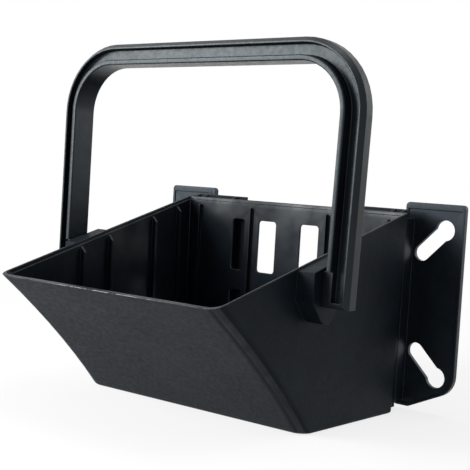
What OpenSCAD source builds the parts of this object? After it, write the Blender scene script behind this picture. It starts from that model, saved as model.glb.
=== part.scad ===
// Tool storage caddy: an open-topped bin with a scoop front, a swinging carrying
// handle and two keyhole plates that hang it on a wall or a rail.
// Origin: floor level, on the rear face of the back wall, at mid-width.
// +X to the right, +Y to the rear, +Z up.

/* [Bin] */
// Height of the back wall from floor to rim
back_h = 195.5; // [170:0.5:230]
// Height of the front lip above the floor
lip_h = 118; // [95:0.5:140]
// Depth of the rim from the back wall to the front lip
lip_d = 273; // [240:0.5:310]
// Depth of the flat floor
floor_d = 144.8; // [120:0.2:170]
// Hollow of the scoop front behind a straight line from floor to lip
front_sag = 6.1; // [0:0.1:12]
// Outer width of the rim at the back wall
rim_w = 280; // [270:0.5:284]
// Outer width of the floor at the back wall
floor_w = 273.4; // [262:0.2:276]
// Outer width of the front lip
lip_w = 262.6; // [250:0.2:266]
// Thickness of the side walls
side_wall = 3.3; // [2.4:0.1:4]
// Thickness of the back wall
back_wall = 2.6; // [2:0.1:4]
// Thickness of the scoop front
front_wall = 3.3; // [2.4:0.1:4.5]
// Thickness of the floor
floor_wall = 3.3; // [2.4:0.1:5]
// Outside radius of the two front corners
front_r = 12; // [6:0.5:20]
// Outside radius of the two back corners
back_r = 4; // [3.5:0.1:6]
// Radius of the outer edge round the floor
bottom_r = 2.5; // [1:0.1:4]
// Radius between the walls and the floor inside
inside_r = 2; // [0.5:0.1:4]
// Depth of the inner step below the rim
ledge_d = 3; // [1.5:0.1:6]
// Width of the inner step below the rim
ledge_w = 0.8; // [0.4:0.1:1.4]

/* [Bin ribs] */
// Distances of the side ribs from the back wall
side_ribs = [24, 63.5, 130, 169]; // [10:0.5:200]
// Distances of the back wall ribs from mid-width
back_ribs = [48.5, 120]; // [45:0.5:124]
// Thickness of the side ribs
side_rib_t = 3; // [2:0.1:4]
// Height of the side ribs above the wall
side_rib_p = 5.5; // [3:0.1:8]
// Drop of the side rib tops below the rim
side_rib_drop = 5.5; // [3.5:0.1:12]
// Thickness of the back ribs
back_rib_t = 2.5; // [1.5:0.1:3.5]
// Height of the back ribs above the wall
back_rib_p = 4; // [2:0.1:6]
// Drop of the back rib tops below the rim
back_rib_drop = 8; // [3.5:0.1:16]
// Fall of the back rib tops from the wall to the rib's edge
back_rib_fall = 1.2; // [0:0.1:2]

/* [Windows] */
// Width of the two middle windows in the back wall
mid_win_w = 23; // [14:0.5:26]
// Distance of the middle windows' centres from mid-width
mid_win_x = 27; // [20:0.5:30]
// Width of the two outer columns of windows
side_win_w = 16.4; // [10:0.2:20]
// Distance of the outer columns' centres from mid-width
side_win_x = 65.5; // [62:0.5:66]
// Height of every window
win_h = 55; // [35:0.5:62]
// Height of the upper windows' lower edge above the floor
upper_win_z = 119.5; // [112:0.5:122]
// Height of the lower windows' lower edge above the floor
lower_win_z = 43; // [25:0.5:48]
// Corner radius of the windows
win_r = 3.5; // [1:0.1:5]

/* [Rear channels] */
// Depth of the channels behind the back wall
channel_d = 10; // [8:0.1:14]
// Height of the channels' lower ends above the floor's level
channel_low = 4; // [4:0.1:8]
// Wall thickness of the channels
channel_wall = 2.5; // [2:0.1:3.5]
// Distance of the channels' open inner ends from mid-width
channel_in = 64.3; // [60:0.1:70]
// Distances of the cross webs from mid-width
channel_webs = [78.5, 120]; // [74:0.5:122]

/* [Handle pivots] */
// Distance of the handle pivots in front of the back wall
pivot_d = 151; // [135:0.5:160]
// Height of the handle pivots above the floor
pivot_h = 131; // [126:0.5:135]
// Distance of the pivot pads' outer faces from mid-width
pad_x = 152; // [148:0.1:154]
// Width of the pivot pads, front to back
pad_w = 44; // [34:0.5:50]
// Height at which the pads begin to taper, below the pivots
pad_shoulder = 11; // [8:0.5:16]
// Length of the pads below the pivots
pad_drop = 37; // [26:0.5:40]
// Radius of the pads' lower tips
pad_tip_r = 11; // [4:0.5:12]
// Drop of the pads' tops below the rim
pad_top_drop = 1.5; // [0:0.1:4]
// Radius of the handle's pegs
peg_r = 6; // [4.5:0.1:8]
// Length of the pegs inside the pads
peg_l = 10; // [6:0.1:13]

/* [Handle] */
// Height of the grip's underside above the pivots
grip_h = 191.2; // [180:0.1:215]
// Distance of the legs' inner faces from mid-width at the corners
leg_x = 158.8; // [157.5:0.1:160]
// Inner radius of the two corners
corner_r = 44.8; // [25:0.1:70]
// Inward lean of the legs in degrees
leg_splay = 0.88; // [0:0.01:1.1]
// Backward lean of the standing handle in degrees
handle_lean = 1.1; // [0:0.1:8]
// Thickness of the handle from the inner face to the outer flange's edges
bar_t = 17.8; // [14:0.1:18]
// Rise of the outer face's crown above the outer flange's edges
crown_rise = 3.4; // [1:0.1:4]
// Width of the flat along the crown
crown_w = 9.4; // [6:0.1:12]
// Depth of the inner flange
inner_flange_d = 26; // [20:0.1:30]
// Thickness of the inner flange
inner_flange_t = 5; // [3:0.1:6]
// Depth of the outer flange
outer_flange_d = 18.5; // [14:0.1:24]
// Thickness of the outer flange
outer_flange_t = 2; // [1.8:0.1:4]
// Thickness of the web between the flanges
web_t = 5; // [4:0.1:12]
// Radius of the handle's edges
edge_r = 1.2; // [0.4:0.1:1.2]
// Height of the foot block above the pivots
foot_up = 15.4; // [12:0.1:20]
// Length of the foot block below the pivots
foot_down = 15.5; // [10:0.1:20]
// Radius of the foot block's lower edges
foot_r = 4; // [1:0.1:6]
// Thickness of the wall that closes the foot block below
foot_wall = 5; // [3:0.1:8]

/* [Keyhole plates] */
// Distance of the plates' inner edges from mid-width
plate_in = 123; // [121:0.1:124]
// Distance of the plates' outer edges from mid-width
plate_out = 187; // [184:0.1:195]
// Height of the plates' top edges above the floor
plate_top = 205.5; // [203:0.1:215]
// Height of the plates' lower edges above the floor
plate_bottom = 3.8; // [1:0.1:8]
// Distance from mid-width at which the lower edge starts to rise
plate_knee = 139.5; // [136:0.1:148]
// Rise of the lower edge in degrees
plate_rise = 24.8; // [15:0.1:30]
// Radius of the outer lower corner
plate_big_r = 22; // [8:0.5:24]
// Radius of the other corners
plate_r = 4; // [1:0.1:6]
// Distance of the plates' front faces behind the back wall
plate_y = 24; // [20:0.1:30]
// Thickness of the plates
plate_t = 6; // [5:0.1:8]
// Depth of the sunk panel in the plates' front faces
panel_d = 1.2; // [0.4:0.1:2]
// Width of the border round the sunk panel
border_w = 3; // [1.5:0.1:5]
// Height of the border along the top edge
top_border_w = 6.3; // [3:0.1:9]
// Radius of the keyholes' round ends
key_r = 10; // [8.5:0.1:11]
// Width of the keyholes' slots
key_slot_w = 16; // [8:0.1:16.5]
// Length of the slots along each axis, from round end to narrow end
key_run = 23.3; // [16:0.1:24]
// Distance of the round ends from mid-width
key_x = 166.5; // [165:0.1:170]
// Height of the upper round ends above the floor
key_top_z = 180; // [170:0.1:185]
// Height of the lower round ends above the floor
key_low_z = 36.5; // [34:0.1:50]

/* [Plate screws] */
// Number of screws in each plate
screw_n = 4; // [2:1:4]
// Distance of the screws from mid-width
screw_x = 128.2; // [127.8:0.1:128.6]
// Height of the lowest screw above the floor
screw_low_z = 22; // [16:0.5:40]
// Height of the highest screw above the floor
screw_top_z = 178; // [150:0.5:185]
// Radius of the screws
screw_r = 1.75; // [1.5:0.05:2]
// Radius of the screw heads
head_r = 3.3; // [2.8:0.1:3.6]
// Height of the screw heads
head_h = 2.6; // [2:0.1:3]
// Height of the posts that carry the screws
post_h = 10; // [8:0.5:14]

/* [Hidden] */
plastic = "#232426";
steel = "#8c8f93";
// Clearances
running = 0.06;
side_gap = 0.3;
thread_gap = 0.05;
shank_gap = 0.25;
head_gap = 0.3;
head_sink = 0.6;
end_gap = 0.5;
// How far joined shapes run into each other, and cutters past a surface
bury = 1;
over = 1;
// Segments of the lofted walls and of the rounded outlines
front_seg = 10;
back_seg = 5;
edge_seg = 4;
wall_levels = 7;
outline_seg = 6;
corner_seg = 12;
bar_seg = 2;

side_taper = (floor_w/2 + lip_h*(rim_w - floor_w)/2/back_h - lip_w/2)/lip_d;
rim_slope = (back_h - lip_h)/lip_d;
channel_edge = floor_w/2 - back_r;
last_web = channel_webs[len(channel_webs) - 1];
foot_inner = pad_x + side_gap;
pivot_top = grip_h - corner_r;
grip_cx = leg_x - corner_r;
standoff_out = channel_edge;
standoff_t = 2.5;
standoff_inset = 6;
standoff_low = plate_bottom + standoff_inset;
standoff_top = back_h - standoff_inset;

// Half of the bin's outer width at depth y and height z
function half_w(y, z) = floor_w/2 + z*(rim_w - floor_w)/2/back_h + y*side_taper;
// Depth of the scoop front's outer face at height z, and its slope there
function front_depth(z) = let (s = z/lip_h)
    floor_d + s*(lip_d - floor_d - 4*front_sag) + 4*front_sag*s*s;
function front_lean(z) = (lip_d - floor_d - 4*front_sag)/lip_h + 8*front_sag*z/lip_h/lip_h;
function rim_z(y) = back_h + rim_slope*y;

// Arc from angle a to angle b round [x, y]
function arc(x, y, r, a, b, n) = [for (i = [0:n])
    let (t = a + (b - a)*i/n) [x + r*cos(t), y + r*sin(t)]];

// One level of the bin: the plane through zb at the back wall and zf at the front,
// with the outline moved inwards by side, back and front
function level(zb, zf, side, back, front, rf, rb) =
    let (tilt = (zb - zf)/front_depth(zf),
        yf = -front_depth(zf) + front,
        yb = -back,
        xf = half_w(yf + rf, zb + tilt*(yf + rf)) - side - rf,
        xb = half_w(yb - rb, zb + tilt*(yb - rb)) - side - rb,
        right = concat(arc(xf, yf + rf, rf, -90, 0, front_seg),
            arc(xb, yb - rb, rb, 0, 90, back_seg)),
        n = len(right))
    [for (i = [0:2*n - 1])
        let (q = i < n ? right[i] : [-right[2*n - 1 - i][0], right[2*n - 1 - i][1]])
        [q[0], q[1], zb + tilt*q[1]]];

// A solid through a list of levels with equal numbers of points
module loft(levels) {
    n = len(levels[0]);
    m = len(levels);
    polyhedron(
        points = [for (l = levels) each l],
        faces = concat(
            [[for (i = [0:n - 1]) i]],
            [for (k = [0:m - 2], i = [0:n - 1]) let (j = (i + 1)%n)
                [k*n + i, (k + 1)*n + i, (k + 1)*n + j]],
            [for (k = [0:m - 2], i = [0:n - 1]) let (j = (i + 1)%n)
                [k*n + i, (k + 1)*n + j, k*n + j]],
            [[for (i = [n - 1:-1:0]) (m - 1)*n + i]]));
}

// The bin's outer form, or its hollow when the walls are given as insets
module bin_form(side, back, front, low, rise, r_low) {
    rf = max(front_r - side, 1);
    rb = max(back_r - back, 1);
    round_levels = [for (i = [0:edge_seg - 1])
        let (a = 90*i/edge_seg, z = low + r_low*(1 - cos(a)), e = r_low*(1 - sin(a)))
        level(z, z, side + e, back + e, front*sqrt(1 + pow(front_lean(z), 2)) + e, rf, rb)];
    wall_levels_list = [for (i = [0:wall_levels])
        let (s = i/wall_levels,
            zb = low + r_low + (back_h + rise - low - r_low)*s,
            zf = low + r_low + (lip_h + rise - low - r_low)*s)
        level(zb, zf, side, back, front*sqrt(1 + pow(front_lean(zf), 2)), rf, rb)];
    loft(concat(round_levels, wall_levels_list));
}

// The shallow recess that leaves a step inside the rim
module rim_step() {
    cut = [side_wall - ledge_w, back_wall - ledge_w, front_wall - ledge_w];
    loft([for (z = [-ledge_d, over])
        let (zf = lip_h + z)
        level(back_h + z, zf, cut[0], cut[1], cut[2]*sqrt(1 + pow(front_lean(zf), 2)),
            front_r - cut[0], max(back_r - cut[1], 1))]);
}

// Extrudes an outline given as [y, z] along X, from x0 to x1
module along_x(x0, x1) {
    translate([x0, 0, 0]) rotate([90, 0, 90]) linear_extrude(x1 - x0) children();
}

// Extrudes an outline given as [x, z] along Y, from y0 to y1
module along_y(y0, y1) {
    translate([0, y1, 0]) rotate([90, 0, 0]) linear_extrude(y1 - y0) children();
}

module both_sides() {
    children();
    mirror([1, 0, 0]) children();
}

// Corner i of an outline rounded with radius r
function rounded_corner(p, i, r, seg) =
    let (n = len(p),
        b = p[i],
        u = (p[(i + n - 1)%n] - b)/norm(p[(i + n - 1)%n] - b),
        v = (p[(i + 1)%n] - b)/norm(p[(i + 1)%n] - b),
        half = acos(u*v)/2,
        c = b + (u + v)/norm(u + v)*r/sin(half),
        s = b + u*r/tan(half) - c,
        e = b + v*r/tan(half) - c,
        a0 = atan2(s[1], s[0]),
        turn = atan2(s[0]*e[1] - s[1]*e[0], s*e))
    arc(c[0], c[1], r, a0, a0 + turn, seg);

// An outline with each corner rounded by its own radius, in seg steps
function rounded(p, radii, seg = outline_seg) = [for (i = [0:len(p) - 1])
    each (radii[i] > 0 ? rounded_corner(p, i, radii[i], seg) : [p[i]])];

// One rib of the right side wall, d behind the front, with a sloping top
module side_rib(d) {
    top = rim_z(-d) - side_rib_drop;
    inner_top = half_w(-d, top) - side_wall;
    inner_low = half_w(-d, 0) - side_wall;
    along_y(-d - side_rib_t/2, -d + side_rib_t/2)
        polygon([[inner_low + bury, 0], [inner_low - side_rib_p, 0],
            [inner_top - side_rib_p, top - side_rib_p], [inner_top, top],
            [inner_top + bury, top]]);
}

// One rib of the back wall, x from mid-width, with a sloping top
module back_rib(x) {
    top = back_h - back_rib_drop;
    along_x(x - back_rib_t/2, x + back_rib_t/2)
        polygon([[-back_wall + bury, 0], [-back_wall + bury, top], [-back_wall, top],
            [-back_wall - back_rib_p, top - back_rib_fall], [-back_wall - back_rib_p, 0]]);
}

module bin_hollow() {
    difference() {
        union() {
            bin_form(side_wall, back_wall, front_wall, floor_wall, over, inside_r);
            rim_step();
        }
        both_sides() {
            for (d = side_ribs) side_rib(d);
            for (x = back_ribs) back_rib(x);
        }
    }
}

// The pad that carries one handle pivot on the right side wall
module pivot_pad() {
    root = half_w(-pivot_d, pivot_h) - side_wall/2;
    front = -pivot_d - pad_w/2 + 1;
    rear = front + pad_w;
    tip = pivot_h - pad_drop;
    shoulder = pivot_h - pad_shoulder;
    along_x(root, pad_x)
        polygon(rounded([[front, rim_z(front) - pad_top_drop], [front, shoulder],
            [-pivot_d + 1, tip], [rear, shoulder], [rear, rim_z(rear) - pad_top_drop]],
            [0, 2, pad_tip_r, 2, 0]));
}

module peg_socket() {
    translate([pad_x - peg_l - end_gap, -pivot_d, pivot_h]) rotate([0, 90, 0])
        cylinder(r = peg_r + running, h = peg_l + end_gap + over, $fn = 64);
}

// The channel behind the back wall on the right side
module rear_channel() {
    difference() {
        along_x(channel_in, channel_edge)
            polygon([[-back_wall/2, channel_low], [channel_d, channel_low], [channel_d, rim_z(channel_d)],
                [-back_wall/2, rim_z(-back_wall/2)]]);
        ends = concat([channel_in - over - channel_wall/2], channel_webs,
            [channel_edge - channel_wall/2]);
        for (i = [0:len(ends) - 2])
            translate([ends[i] + channel_wall/2, 0, -over])
                cube([ends[i + 1] - ends[i] - channel_wall,
                    channel_d - channel_wall, back_h + 2*channel_d]);
    }
}

function screw_z(i) = screw_low_z + (screw_top_z - screw_low_z)*i/(screw_n - 1);

module at_screws() {
    for (i = [0:screw_n - 1])
        translate([screw_x, 0, screw_z(i)]) rotate([-90, 0, 0]) children();
}

// The blocks round the right side's screws, from x0 to x1 and y0 to y1
module screw_posts(x0, x1, y0, y1) {
    for (i = [0:screw_n - 1])
        translate([x0, y0, screw_z(i) - post_h/2]) cube([x1 - x0, y1 - y0, post_h]);
}

// A window outline of width w with its lower edge at height z
module window(x, w, z) {
    p = [[x - w/2, z], [x + w/2, z], [x + w/2, z + win_h], [x - w/2, z + win_h]];
    polygon(rounded(p, [win_r, win_r, win_r, win_r]));
}

module bin() color(plastic) {
    difference() {
        union() {
            bin_form(0, 0, 0, 0, 0, bottom_r);
            both_sides() {
                pivot_pad();
                rear_channel();
                screw_posts(last_web, channel_edge - channel_wall/2, -back_wall/2,
                    channel_d - channel_wall/2);
            }
        }
        bin_hollow();
        both_sides() {
            peg_socket();
            along_y(-back_wall - back_rib_p - over, channel_d + over)
                window(mid_win_x, mid_win_w, upper_win_z);
            along_y(-back_wall - back_rib_p - over, channel_d/2) {
                window(side_win_x, side_win_w, upper_win_z);
                window(side_win_x, side_win_w, lower_win_z);
            }
            at_screws() translate([0, 0, end_gap])
                cylinder(r = screw_r + thread_gap, h = channel_d + over, $fn = 48);
        }
    }
}

// Cross-section of the handle: [distance from the inner face, depth]
function bar_section() =
    let (a = inner_flange_d/2, b = outer_flange_d/2, c = crown_w/2, w = web_t/2,
        f = inner_flange_t, g = bar_t - outer_flange_t, t = bar_t + crown_rise,
        e = edge_r, h = edge_r/2)
    rounded([[0, -a], [f, -a], [f, -w], [g, -w], [g, -b], [bar_t, -b], [t, -c],
        [t, c], [bar_t, b], [g, b], [g, w], [f, w], [f, a], [0, a]],
        [e, e, e, e, h, h, e, e, h, h, e, e, e, e], bar_seg);

// The bar's cross-section where its inner face passes [x, z], facing angle a
function bar_ring(x, z, a) = [for (q = bar_section())
    [x + q[0]*cos(a), q[1], z + q[0]*sin(a)]];

// The right half of the bar's path: up the leg and round the corner
function half_path() =
    let (r = corner_r, s = leg_splay, l = pivot_top + foot_down + over)
    concat([[grip_cx + r*cos(s) - l*sin(s), pivot_top - r*sin(s) - l*cos(s), -s]],
        [for (i = [0:corner_seg]) let (a = -s + (90 + s)*i/corner_seg)
            [grip_cx + r*cos(a), pivot_top + r*sin(a), a]]);

module bar_sweep() {
    right = half_path();
    left = [for (i = [len(right) - 1:-1:0]) [-right[i][0], right[i][1], 180 - right[i][2]]];
    loft([for (p = concat(right, left)) bar_ring(p[0], p[1], p[2])]);
}

// The block that fills the right leg's foot out to the pad, and its lower wall
module foot_block() {
    b = outer_flange_d/2;
    leg_inner = leg_x - pivot_top*sin(leg_splay);
    translate([foot_inner, -b, -foot_down])
        cube([leg_inner + inner_flange_t/2 - foot_inner, 2*b, foot_down + foot_up]);
    translate([foot_inner, -b, -foot_down])
        cube([leg_inner + bar_t - outer_flange_t/2 - foot_inner, 2*b, foot_wall]);
}

// What is cut from round the right foot
module foot_trim() {
    b = outer_flange_d/2;
    a = inner_flange_d/2 + over;
    difference() {
        along_x(foot_inner - over, leg_x + 2*bar_t)
            polygon([[-a, foot_up], [-a, -foot_down - 2*over], [a, -foot_down - 2*over],
                [a, foot_up]]);
        along_x(foot_inner - 2*over, leg_x + 3*bar_t)
            polygon(rounded([[-b, foot_up + over], [-b, -foot_down], [b, -foot_down],
                [b, foot_up + over]], [0, foot_r, foot_r, 0]));
    }
}

// The peg that turns in the right pad's socket
module peg() {
    translate([pad_x - peg_l, 0, 0]) rotate([0, 90, 0])
        cylinder(r = peg_r, h = peg_l + side_gap + bury, $fn = 64);
}

module handle() color(plastic) {
    translate([0, -pivot_d, pivot_h]) rotate([-handle_lean, 0, 0]) {
        difference() {
            union() {
                bar_sweep();
                both_sides() foot_block();
            }
            both_sides() foot_trim();
        }
        both_sides() peg();
    }
}

module plate_outline(e, e_top) {
    rise = tan(plate_rise);
    low = plate_bottom + e;
    knee = plate_knee + e*tan(plate_rise/2);
    inner = plate_in + e;
    outer = plate_out - e;
    r = max(plate_r - e, 0.5);
    polygon(rounded([[inner, low], [knee, low], [outer, low + (outer - knee)*rise],
        [outer, plate_top - e_top], [inner, plate_top - e_top]],
        [r, r, plate_big_r - e, r, r]));
}

// A keyhole with its round end at height z and its slot running inwards, up or down
module keyhole(z, dir) {
    w = key_slot_w/2;
    translate([key_x, z]) {
        circle(r = key_r, $fn = 64);
        rotate(dir > 0 ? 135 : 225)
            polygon(concat([[0, -w]], arc(key_run*sqrt(2), 0, w, -90, 90, corner_seg), [[0, w]]));
    }
}

// The right plate, with the standoff frame that bears on the rear channel
module mounting_plate() {
    rear = plate_y + plate_t;
    difference() {
        union() {
            along_y(plate_y, rear) plate_outline(0, 0);
            difference() {
                translate([plate_in, channel_d, standoff_low])
                    cube([standoff_out - plate_in, plate_y - channel_d + bury,
                        standoff_top - standoff_low]);
                translate([plate_in + standoff_t, channel_d - over, standoff_low + standoff_t])
                    cube([standoff_out - plate_in - 2*standoff_t,
                        plate_y - channel_d + over, standoff_top - standoff_low - 2*standoff_t]);
            }
            screw_posts(plate_in + standoff_t/2, standoff_out - standoff_t/2, channel_d,
                plate_y + bury);
        }
        difference() {
            along_y(plate_y - over, plate_y + panel_d) plate_outline(border_w, top_border_w);
            translate([plate_in, channel_d, standoff_low])
                cube([standoff_out - plate_in, rear - channel_d, standoff_top - standoff_low]);
        }
        along_y(plate_y - over, rear + over) {
            keyhole(key_top_z, -1);
            keyhole(key_low_z, 1);
        }
        at_screws() {
            translate([0, 0, channel_d - over])
                cylinder(r = screw_r + shank_gap, h = rear, $fn = 48);
            translate([0, 0, rear - head_h - head_sink])
                cylinder(r = head_r + head_gap, h = head_h + head_sink + over, $fn = 48);
        }
    }
}

module mounting_plate_right() color(plastic) mounting_plate();

module mounting_plate_left() color(plastic) mirror([1, 0, 0]) mounting_plate();

// The screws of the right plate: pan heads sunk below the plate's rear face
module plate_screws() {
    seat = plate_y + plate_t - head_h - head_sink;
    at_screws() {
        translate([0, 0, 2*end_gap]) cylinder(r = screw_r, h = seat + bury - 2*end_gap, $fn = 48);
        translate([0, 0, seat]) cylinder(r = head_r, h = head_h, $fn = 48);
    }
}

module plate_screws_right() color(steel) plate_screws();

module plate_screws_left() color(steel) mirror([1, 0, 0]) plate_screws();

bin();
handle();
mounting_plate_left();
mounting_plate_right();
plate_screws_left();
plate_screws_right();
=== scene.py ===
# %% [markdown]
# # A tool storage caddy, from moulded parts to a finished look
#
# The real caddy is four black injection mouldings and eight screws: an open bin
# with a scoop front, a carrying handle that swings on two pegs, and two keyhole
# plates screwed on behind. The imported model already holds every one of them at
# its true size and place, so this lesson doesn't draw the shapes again. It rounds
# their edges the way a mould does, gives each its plastic, and lights the whole.

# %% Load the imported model
import math

import bmesh
import bpy
from mathutils import Matrix, Vector

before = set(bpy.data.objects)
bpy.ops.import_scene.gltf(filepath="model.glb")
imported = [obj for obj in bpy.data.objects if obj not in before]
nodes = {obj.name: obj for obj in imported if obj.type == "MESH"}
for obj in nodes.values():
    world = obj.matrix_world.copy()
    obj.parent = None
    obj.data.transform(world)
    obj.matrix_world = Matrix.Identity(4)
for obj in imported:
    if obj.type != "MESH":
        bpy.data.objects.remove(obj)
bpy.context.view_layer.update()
MM = 0.001
print("nodes:", sorted(nodes))

# %% [markdown]
# ## The camera
#
# A camera is a place, a direction and a lens. The direction is easiest to think of
# as three turns: yaw round the vertical, pitch up or down, and roll about the line
# of sight. A long lens from a metre away keeps the far plate nearly as large as
# the near one, which is how small products are usually shown.

# %% Place the camera
# The place is in metres. Yaw, pitch and roll are given in degrees and kept in
# radians. NEAREST and FARTHEST say how near and far the camera sees, in metres.
CAMERA_PLACE = Vector((0.63198, -0.88327, 0.22407))
YAW, PITCH, ROLL = (math.radians(a) for a in (38.541, -3.430, 3.359))
LENS_MM, SENSOR_MM = 79.59, 36.0
NEAREST, FARTHEST = 0.05, 20.0


def camera_axes(yaw, pitch, roll):
    """The camera's right, up and forward directions."""
    forward = Vector((-math.sin(yaw) * math.cos(pitch),
                      math.cos(yaw) * math.cos(pitch), math.sin(pitch)))
    level_right = Vector((math.cos(yaw), math.sin(yaw), 0.0))
    level_up = level_right.cross(forward)
    right = level_right * math.cos(roll) + level_up * math.sin(roll)
    up = -level_right * math.sin(roll) + level_up * math.cos(roll)
    return right, up, forward


right, up, forward = camera_axes(YAW, PITCH, ROLL)
lens = bpy.data.cameras.new("view_lens")
lens.lens, lens.sensor_width = LENS_MM, SENSOR_MM
lens.clip_start, lens.clip_end = NEAREST, FARTHEST
camera = bpy.data.objects.new("view_camera", lens)
bpy.context.scene.collection.objects.link(camera)
turned = Matrix((right, up, -forward)).transposed()
camera.matrix_world = Matrix.Translation(CAMERA_PLACE) @ turned.to_4x4()
bpy.context.scene.camera = camera
print("camera stands", round(CAMERA_PLACE.length, 3), "m from the origin")

# %% [markdown]
# ## Rounded edges
#
# No moulding has a perfectly sharp edge: the plastic can't fill one, and a mould
# maker breaks every corner. That thin round is what catches the light and draws
# the bright lines along the rim and the ribs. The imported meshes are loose
# triangles, so the stack of modifiers first welds them, and then bevels the true
# edges, found by the angle between their faces. A weighted normal keeps the wide
# faces flat and puts the bend in the bevel.
#
# The rounds could be modelled in the solids, at the cost of thousands of tiny
# faces that a collision check would have to carry. As live modifiers they stay
# out of the solid and can be changed at any time.

# %% Give each moulding its edge radius
# Radii in millimetres.
EDGE_RADIUS = {"bin": 0.45, "handle": 0.35, "mounting_plate_left": 0.45,
               "mounting_plate_right": 0.45, "plate_screws_left": 0.2,
               "plate_screws_right": 0.2}
SHARP_DEGREES = 32
ROUND_STEPS = 2
WELD_MM = 0.002
FLAT_FACE_WEIGHT = 80


def round_edges(piece, radius_mm):
    """Weld the loose triangles, round the true edges and even out the shading."""
    weld = piece.modifiers.new("Weld", "WELD")
    weld.merge_threshold = WELD_MM * MM
    bevel = piece.modifiers.new("Mould radius", "BEVEL")
    bevel.width = radius_mm * MM
    bevel.segments = ROUND_STEPS
    bevel.limit_method = "ANGLE"
    bevel.angle_limit = math.radians(SHARP_DEGREES)
    bevel.use_clamp_overlap = False
    bevel.loop_slide = False
    bevel.harden_normals = False
    bevel.miter_outer = "MITER_ARC"
    normals = piece.modifiers.new("Weighted normals", "WEIGHTED_NORMAL")
    normals.keep_sharp = False
    normals.weight = FLAT_FACE_WEIGHT


for name, radius in EDGE_RADIUS.items():
    round_edges(nodes[name], radius)
bpy.context.view_layer.update()
depsgraph = bpy.context.evaluated_depsgraph_get()
for name in EDGE_RADIUS:
    shown = nodes[name].evaluated_get(depsgraph).data
    shown.calc_loop_triangles()
    before, after = len(nodes[name].data.polygons), len(shown.loop_triangles)
    print(name, before, "->", after, "triangles")

# %% [markdown]
# ## Moulded black plastic
#
# Black polypropylene is never one flat colour. The mould is spark-eroded or
# blasted, which leaves a fine grain; the melt shrinks a little unevenly, so wide
# walls carry a slow waviness; handling polishes the edges and leaves faint scuffs.
# Each of these is one small group of nodes: noise at several sizes for grain,
# waviness and scuffs, and a bevel test that finds the edges. Along the edges a
# pale grey is painted that is partly wear and partly a painted highlight, standing
# in for the bright lines that the rounds catch. Painted image maps could hold the
# same marks, but noise on the piece's own coordinates needs no unwrapping and
# stays sharp however near one looks.

# %% A helper for building node materials
# OPEN_FACE and FULL_EDGE are cosines: of the turn between a face's own direction
# and its rounded one on an open face, and in the middle of an edge.
EDGE_SAMPLES = 6
OPEN_FACE, FULL_EDGE = 0.995, 0.86
SKIN_ROUGHNESS, SKIN_IOR = 0.24, 1.5


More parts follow.
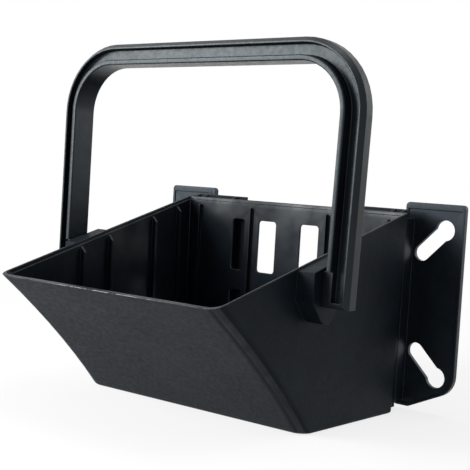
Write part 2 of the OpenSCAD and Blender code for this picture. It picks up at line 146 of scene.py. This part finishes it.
class Nodes:
    """A material's node tree, with short calls to add and join nodes."""

    def __init__(self, name):
        self.material = bpy.data.materials.new(name)
        self.material.use_nodes = True
        self.tree = self.material.node_tree
        self.tree.nodes.clear()
        self.place = self.add("ShaderNodeTexCoord").outputs["Object"]

    def add(self, kind, **settings):
        """A new node of the given kind."""
        node = self.tree.nodes.new(kind)
        for key, value in settings.items():
            setattr(node, key, value)
        return node

    def join(self, a, b):
        """A link from output a to input b."""
        self.tree.links.new(a, b)

    def noise(self, size_mm, detail=3.0, rough=0.5, stretch=(1, 1, 1)):
        """Noise with features of about this size; stretch below 1 draws them out."""
        turn = self.add("ShaderNodeMapping")
        turn.inputs["Scale"].default_value = stretch
        self.join(self.place, turn.inputs["Vector"])
        noise = self.add("ShaderNodeTexNoise")
        noise.inputs["Scale"].default_value = 1.0 / (size_mm * MM)
        noise.inputs["Detail"].default_value = detail
        noise.inputs["Roughness"].default_value = rough
        self.join(turn.outputs[0], noise.inputs["Vector"])
        return noise.outputs["Fac"]

    def ranged(self, value, low, high, to_low, to_high):
        """The value between low and high, carried over to another range and held there."""
        part = self.add("ShaderNodeMapRange")
        for key, number in zip(("From Min", "From Max", "To Min", "To Max"),
                               (low, high, to_low, to_high)):
            part.inputs[key].default_value = number
        self.join(value, part.inputs["Value"])
        return part.outputs[0]

    def maths(self, kind, a, b):
        """One step of arithmetic on two numbers or outputs."""
        part = self.add("ShaderNodeMath", operation=kind)
        for socket, value in zip(part.inputs, (a, b)):
            if isinstance(value, (int, float)):
                socket.default_value = value
            else:
                self.join(value, socket)
        return part.outputs[0]

    def edges(self, radius_mm):
        """0 on open faces, rising towards 1 along edges."""
        round_off = self.add("ShaderNodeBevel", samples=EDGE_SAMPLES)
        round_off.inputs["Radius"].default_value = radius_mm * MM
        straight = self.add("ShaderNodeNewGeometry")
        dot = self.add("ShaderNodeVectorMath", operation="DOT_PRODUCT")
        self.join(round_off.outputs[0], dot.inputs[0])
        self.join(straight.outputs["Normal"], dot.inputs[1])
        return self.ranged(dot.outputs["Value"], OPEN_FACE, FULL_EDGE, 0.0, 1.0)

    def bump(self, height, depth_mm, below=None):
        """Raised and sunk places this deep, on top of an earlier bump if one is given."""
        part = self.add("ShaderNodeBump")
        part.inputs["Strength"].default_value = 1.0
        part.inputs["Distance"].default_value = depth_mm * MM
        self.join(height, part.inputs["Height"])
        if below is not None:
            self.join(below, part.inputs["Normal"])
        return part.outputs[0]

    def mix_colour(self, share, a, b):
        """Colour a where share is 0, colour b where it is 1."""
        part = self.add("ShaderNodeMix", data_type="RGBA")
        self.join(share, part.inputs["Factor"])
        for socket, value in ((part.inputs[6], a), (part.inputs[7], b)):
            if isinstance(value, tuple):
                socket.default_value = (*value, 1.0)
            else:
                self.join(value, socket)
        return part.outputs[2]

    def surface(self, colour, roughness, normal, specular=0.5, metallic=0.0,
                sheet=None, tint=(1.0, 1.0, 1.0)):
        """The finished shader. sheet is where a smooth skin lies over the rest."""
        shader = self.add("ShaderNodeBsdfPrincipled")
        shader.inputs["Metallic"].default_value = metallic
        shader.inputs["Specular IOR Level"].default_value = specular
        shader.inputs["Specular Tint"].default_value = (*tint, 1.0)
        if sheet is not None:
            shader.inputs["Coat Roughness"].default_value = SKIN_ROUGHNESS
            shader.inputs["Coat IOR"].default_value = SKIN_IOR
            self.join(sheet, shader.inputs["Coat Weight"])
        self.join(colour, shader.inputs["Base Color"])
        self.join(roughness, shader.inputs["Roughness"])
        self.join(normal, shader.inputs["Normal"])
        self.join(shader.outputs[0], self.add("ShaderNodeOutputMaterial").inputs["Surface"])
        return self.material


# %% The plastic's colours
# Linear red, green and blue. The sheens tint what the plastic reflects.
DEEP_BLACK = (0.0036, 0.0056, 0.0084)
PALE_BLACK = (0.0080, 0.0115, 0.0162)
# The scuff grey is real wear on the scratches; along the edges it is also a painted
# highlight for the light that the rounds catch.
SCUFF_AND_EDGE_HIGHLIGHT_GREY = (0.085, 0.090, 0.097)
CHIP_GREY = (0.78, 0.80, 0.82)
COOL_SHEEN = (0.76, 0.89, 1.0)
HANDLE_SHEEN = (0.86, 0.97, 1.0)

# %% The plastic's marks
# Sizes in millimetres. The shares say how much of a mark shows, the depths how
# far the slow waves rise and how much of the grain is left on polished faces.
CLOUD_MM, SCRATCH_MM, PATCH_MM, SPECK_MM = 55, 1.6, 30, 4
EDGE_MM, EDGE_WEAR_AND_HIGHLIGHT_MM, CHIP_MM, SKIN_PATCH_MM = 0.9, 7, 9, 22
SCRATCH_STRETCH = (1.0, 1.0, 0.12)
RUB_SHARE = 0.35
EDGE_WEAR_AND_HIGHLIGHT_SHARES = (0.15, 0.6)
WEAR_SHINE, POLISH_SHINE = 0.08, 0.12
POLISHED_GRAIN = 0.15
SKIN_SHARES = (0.08, 0.36)
WAVE_DEPTH_MM = 0.25


def moulded_plastic(name, grain_mm, grain_depth_mm, low_rough, high_rough,
                    wave_mm=38, polished=None, knocked=None, gloss=0.22,
                    tint=COOL_SHEEN):
    """Black plastic. polished and knocked say where it is smooth and where chipped."""
    n = Nodes(name)
    cloud = n.noise(CLOUD_MM, detail=4)
    tone = n.mix_colour(n.ranged(cloud, 0.35, 0.65, 0.0, 1.0), DEEP_BLACK, PALE_BLACK)
    scratches = n.noise(SCRATCH_MM, detail=6, rough=0.65, stretch=SCRATCH_STRETCH)
    patches = n.noise(PATCH_MM, detail=3)
    rubbed = n.maths("MULTIPLY", n.ranged(scratches, 0.60, 0.74, 0.0, 1.0),
                     n.ranged(patches, 0.50, 0.66, 0.0, RUB_SHARE))
    edge = n.edges(EDGE_MM)
    # Along every edge a pale grey is painted, partly wear and partly a painted highlight
    # that draws the bright lines of the rounds.
    worn_and_highlit_edge = n.maths("MULTIPLY", edge,
                        n.ranged(n.noise(EDGE_WEAR_AND_HIGHLIGHT_MM, detail=5), 0.35, 0.7, *EDGE_WEAR_AND_HIGHLIGHT_SHARES))
    scuffs_and_highlit_edges = n.maths("MAXIMUM", rubbed, worn_and_highlit_edge)
    colour = n.mix_colour(scuffs_and_highlit_edges, tone, SCUFF_AND_EDGE_HIGHLIGHT_GREY)
    if knocked is not None:
        chips = n.ranged(n.noise(CHIP_MM, detail=6, rough=0.7), 0.40, 0.50, 0.0, 1.0)
        bared = n.maths("MULTIPLY", n.maths("MULTIPLY", edge, chips), knocked(n))
        colour = n.mix_colour(bared, colour, CHIP_GREY)
    speck = n.noise(SPECK_MM, detail=6)
    roughness = n.maths(
        "SUBTRACT", n.ranged(speck, 0.3, 0.7, low_rough, high_rough),
        n.maths("MULTIPLY", worn_and_highlit_edge, WEAR_SHINE))
    height = n.noise(grain_mm, detail=2, rough=0.6)
    sheet = None
    if polished is not None:
        smooth = polished(n)
        roughness = n.maths("SUBTRACT", roughness, n.maths("MULTIPLY", smooth, POLISH_SHINE))
        height = n.maths("MULTIPLY", height, n.ranged(smooth, 0.0, 1.0, 1.0, POLISHED_GRAIN))
        sheet = n.maths("MULTIPLY", smooth,
                        n.ranged(n.noise(SKIN_PATCH_MM, detail=2), 0.3, 0.7, *SKIN_SHARES))
    waves = n.bump(n.noise(wave_mm, detail=1), WAVE_DEPTH_MM)
    grain = n.bump(height, grain_depth_mm, below=waves)
    return n.surface(colour, roughness, grain, specular=gloss, sheet=sheet, tint=tint)


# %% [markdown]
# ## Smooth inside, grained outside
#
# The core of the mould that forms the inside is polished so that the bin slides
# off it, while the outer half is blasted. One piece can show both: where a
# point lies inside the bin is a matter of its height, depth and distance from
# mid-width, because the walls lean at steady rates.
#
# Two pieces with two materials would do it too, but the bin is one moulding, and a
# mask leaves it so.

# %% Where the bin is polished
# Half the floor's width and how far each side wall leans out per metre of height
# and draws in per metre of depth; the floor's depth and the front's lean and
# hollow; and half the thickness of a wall, of which the back wall has a share,
# because it is thinner. All in metres.
HALF_FLOOR, SIDE_LEAN, SIDE_TAPER = 0.1367, 0.01688, 0.02707
FLOOR_DEPTH, FRONT_LEAN, FRONT_HOLLOW = 0.1448, 0.8797, 1.7524
WALL_MIDDLE = 0.0016
BACK_SHARE = 0.8


def inside_of_bin(n):
    """1 on the bin's inner faces, 0 outside."""
    parts = n.add("ShaderNodeSeparateXYZ")
    n.join(n.place, parts.inputs[0])
    x, y, z = parts.outputs
    half = n.maths("ADD", n.maths("MULTIPLY", z, SIDE_LEAN),
                   n.maths("MULTIPLY", y, SIDE_TAPER))
    from_side = n.maths("SUBTRACT", n.maths("ADD", half, HALF_FLOOR - WALL_MIDDLE),
                        n.maths("ABSOLUTE", x, 0.0))
    from_back = n.maths("SUBTRACT", -WALL_MIDDLE * BACK_SHARE, y)
    depth = n.maths("MULTIPLY", z, n.maths("ADD", n.maths("MULTIPLY", z, FRONT_HOLLOW),
                                           FRONT_LEAN))
    from_front = n.maths("ADD", n.maths("ADD", depth, FLOOR_DEPTH - WALL_MIDDLE), y)
    nearest = n.maths("MINIMUM", from_side, n.maths("MINIMUM", from_back, from_front))
    return n.maths("GREATER_THAN", nearest, 0.0)


# %% [markdown]
# ## The knocked lip
#
# Tools go in and out over the front lip, and most of them over its middle. The
# thin edge there is chipped and rubbed to a dull grey white. Chips could be cut
# into the mesh, but at this size only their colour shows.

# %% Where the lip is knocked
# Metres along Y where the chips begin and are full, and along X their middle, the
# half-width over which they are full, and where they have thinned out.
KNOCK_FROM, KNOCK_FULL = -0.262, -0.269
KNOCK_MIDDLE, KNOCK_HALF, KNOCK_FADE = 0.005, 0.042, 0.075
KNOCK_ASIDE = 0.25


def front_lip(n):
    """1 along the front lip, where tools are dropped in and drawn out."""
    parts = n.add("ShaderNodeSeparateXYZ")
    n.join(n.place, parts.inputs[0])
    at_lip = n.ranged(parts.outputs["Y"], KNOCK_FROM, KNOCK_FULL, 0.0, 1.0)
    aside = n.maths("ABSOLUTE", n.maths("SUBTRACT", parts.outputs["X"], KNOCK_MIDDLE), 0.0)
    along = n.ranged(aside, KNOCK_HALF, KNOCK_FADE, 1.0, KNOCK_ASIDE)
    return n.maths("MULTIPLY", at_lip, along)


# %% [markdown]
# ## Three plastics from one recipe
#
# The bin is the dullest: its outside is blasted and it is handled least. The
# handle comes from a finer mould and hands keep it smooth. The plates lie between.

# %% Mix the three plastics
bin_plastic = moulded_plastic(
    "bin_plastic", grain_mm=0.55, grain_depth_mm=0.035, low_rough=0.40, high_rough=0.54,
    polished=inside_of_bin, knocked=front_lip, gloss=0.08)
handle_plastic = moulded_plastic(
    "handle_plastic", grain_mm=0.45, grain_depth_mm=0.012, low_rough=0.28, high_rough=0.40,
    wave_mm=26, gloss=0.23, tint=HANDLE_SHEEN)
plate_plastic = moulded_plastic(
    "plate_plastic", grain_mm=0.55, grain_depth_mm=0.03, low_rough=0.33, high_rough=0.45,
    gloss=0.26)
print("plastics:", bin_plastic.name, handle_plastic.name, plate_plastic.name)

# %% [markdown]
# ## Zinc-plated screws
#
# The eight pan-head screws sit below the plates' rear faces. Zinc is a soft grey
# metal with fine turning marks and a slightly uneven blue-white bloom. One metal
# for all eight is enough, because noise on each screw's own place differs.

# %% The screws' metal
# Linear colours, and the sizes and depth of the marks in millimetres.
ZINC_DARK, ZINC_PALE = (0.34, 0.36, 0.38), (0.56, 0.57, 0.58)
BLOOM_MM, GLINT_MM, TURNING_MM, TURNING_DEPTH_MM = 1.4, 0.5, 0.25, 0.01
TURNING_STRETCH = (1.0, 0.2, 1.0)
ZINC_ROUGHNESS = (0.26, 0.46)


def zinc_plate(name):
    """A plated steel, uneven in colour and shine."""
    n = Nodes(name)
    bloom = n.ranged(n.noise(BLOOM_MM, detail=5), 0.35, 0.65, 0.0, 1.0)
    colour = n.mix_colour(bloom, ZINC_DARK, ZINC_PALE)
    roughness = n.ranged(n.noise(GLINT_MM, detail=4), 0.3, 0.7, *ZINC_ROUGHNESS)
    marks = n.bump(n.noise(TURNING_MM, detail=3, stretch=TURNING_STRETCH), TURNING_DEPTH_MM)
    return n.surface(colour, roughness, marks, metallic=1.0)


zinc = zinc_plate("zinc_steel")

# %% Put each finish on its pieces
FINISH = {"bin": bin_plastic, "handle": handle_plastic,
          "mounting_plate_left": plate_plastic, "mounting_plate_right": plate_plastic,
          "plate_screws_left": zinc, "plate_screws_right": zinc}


def dress(piece, material):
    """Put one material in all of a piece's slots."""
    for slot in piece.material_slots:
        slot.material = material


for name, material in FINISH.items():
    dress(nodes[name], material)
    print(name, "wears", [s.material.name for s in nodes[name].material_slots])

# %% [markdown]
# ## Floor and light
#
# A pale sweep under the caddy and a bright surround give black plastic something
# to reflect; without them it would be a hole in the picture. The main soft lamp
# stands low at the front left, where the back wall, the top of the handle and the
# plates' top bands mirror it towards the eye. A weak one above softens the
# shadows, and a third, behind on the right, draws the side wall and the rear
# faces. The floor keeps the caddy's soft shadow.
#
# The floor could simply be white, but a white floor next to black plastic clips
# and loses its shadow. So a ray that looks at it, straight or in a reflection,
# sees a glow with a share of the shadow, while the light it throws back on the
# caddy is that of a plain grey floor.

# %% Which rays see the pale background


def seen_rays(tree):
    """1 for a ray that looks at the scene straight, in a reflection or through glass."""
    path = tree.nodes.new("ShaderNodeLightPath")
    seen = path.outputs["Is Camera Ray"]
    for kind in ("Is Glossy Ray", "Is Transmission Ray"):
        either = tree.nodes.new("ShaderNodeMath")
        either.operation = "MAXIMUM"
        tree.links.new(seen, either.inputs[0])
        tree.links.new(path.outputs[kind], either.inputs[1])
        seen = either.outputs[0]
    return seen


# %% The floor
# Half its side and how far it lies below the caddy, in metres; the grey that it
# throws light back with; and the shadow's share and the glow that are seen. Past
# NEAR_FLOOR the glow rises, until at FAR_FLOOR the floor is as white as the
# surround and no horizon shows.
FLOOR_HALF, FLOOR_DROP = 3.0, 0.0002
FLOOR_GREY, SHADOW_SHARE, FLOOR_GLOW = (0.55,) * 3, (0.23,) * 3, 0.77
NEAR_FLOOR, FAR_FLOOR = 0.3, 1.1


def pale_floor():
    """A wide floor that is seen nearly white and keeps the shadow."""
    mesh = bpy.data.meshes.new("floor")
    made = bmesh.new()
    bmesh.ops.create_grid(made, x_segments=1, y_segments=1, size=FLOOR_HALF)
    made.to_mesh(mesh)
    made.free()
    floor = bpy.data.objects.new("floor", mesh)
    floor.location.z = -FLOOR_DROP
    bpy.context.scene.collection.objects.link(floor)
    n = Nodes("pale_floor")
    matt = n.add("ShaderNodeBsdfDiffuse")
    matt.inputs["Color"].default_value = (*FLOOR_GREY, 1.0)
    shadowed = n.add("ShaderNodeBsdfDiffuse")
    shadowed.inputs["Color"].default_value = (*SHADOW_SHARE, 1.0)
    glow = n.add("ShaderNodeEmission")
    glow.inputs["Strength"].default_value = FLOOR_GLOW
    white = n.add("ShaderNodeEmission")
    white.inputs["Strength"].default_value = 1.0
    near = n.add("ShaderNodeAddShader")
    n.join(shadowed.outputs[0], near.inputs[0])
    n.join(glow.outputs[0], near.inputs[1])
    away = n.add("ShaderNodeVectorMath", operation="LENGTH")
    n.join(n.place, away.inputs[0])
    seen = n.add("ShaderNodeMixShader")
    n.join(n.ranged(away.outputs["Value"], NEAR_FLOOR, FAR_FLOOR, 0.0, 1.0), seen.inputs[0])
    n.join(near.outputs[0], seen.inputs[1])
    n.join(white.outputs[0], seen.inputs[2])
    choose = n.add("ShaderNodeMixShader")
    n.join(seen_rays(n.tree), choose.inputs[0])
    n.join(matt.outputs[0], choose.inputs[1])
    n.join(seen.outputs[0], choose.inputs[2])
    n.join(choose.outputs[0], n.add("ShaderNodeOutputMaterial").inputs["Surface"])
    mesh.materials.append(n.material)


pale_floor()

# %% The bright surround
# How strongly it lights the caddy, and how bright it is seen, where 1 is white.
SURROUND_LIGHT, SURROUND_SEEN = 0.3, 1.0


def bright_surround():
    """A world that is white to look at and gives only a weak light."""
    world = bpy.data.worlds.new("surround")
    bpy.context.scene.world = world
    world.use_nodes = True
    tree = world.node_tree
    tree.nodes.clear()
    light = tree.nodes.new("ShaderNodeBackground")
    light.inputs["Strength"].default_value = SURROUND_LIGHT
    seen = tree.nodes.new("ShaderNodeBackground")
    seen.inputs["Strength"].default_value = SURROUND_SEEN
    for part in (light, seen):
        part.inputs["Color"].default_value = (1.0, 1.0, 1.0, 1.0)
    choose = tree.nodes.new("ShaderNodeMixShader")
    out = tree.nodes.new("ShaderNodeOutputWorld")
    link = tree.links.new
    link(seen_rays(tree), choose.inputs[0])
    link(light.outputs[0], choose.inputs[1])
    link(seen.outputs[0], choose.inputs[2])
    link(choose.outputs[0], out.inputs["Surface"])


bright_surround()

# %% The lamps
# Each lamp's place and size in metres and its power in watts.
AIM = Vector((0.0, -0.1, 0.14))
LAMPS = {
    "lamp_left": ((-0.96, -1.33, 0.66), (0.8, 1.0), 40),
    "lamp_above": ((0.3, 0.2, 1.6), (0.8, 0.8), 6),
    "lamp_behind": ((1.25, 1.45, 0.85), (1.6, 1.2), 10),
}


def soft_lamp(name, place, size, power):
    """A rectangular lamp turned towards the middle of the caddy."""
    data = bpy.data.lights.new(name, "AREA")
    data.shape, data.size, data.size_y = "RECTANGLE", size[0], size[1]
    data.energy = power
    lamp = bpy.data.objects.new(name, data)
    bpy.context.scene.collection.objects.link(lamp)
    lamp.location = place
    lamp.rotation_euler = (AIM - Vector(place)).to_track_quat("-Z", "Y").to_euler()
    print(name, "at", place, power, "W")


for name, (place, size, power) in LAMPS.items():
    soft_lamp(name, place, size, power)
bpy.context.scene.view_settings.view_transform = "Standard"

# %% [markdown]
# ## Bringing the scene up to date
#
# A bevel can shoot out past a piece's solid somewhere other than the edge one
# looks at, and measuring one edge by eye would miss it. This last cell only
# brings the view layer up to date; it takes and compares no boxes.

# %% Bring the view layer up to date
bpy.context.view_layer.update()
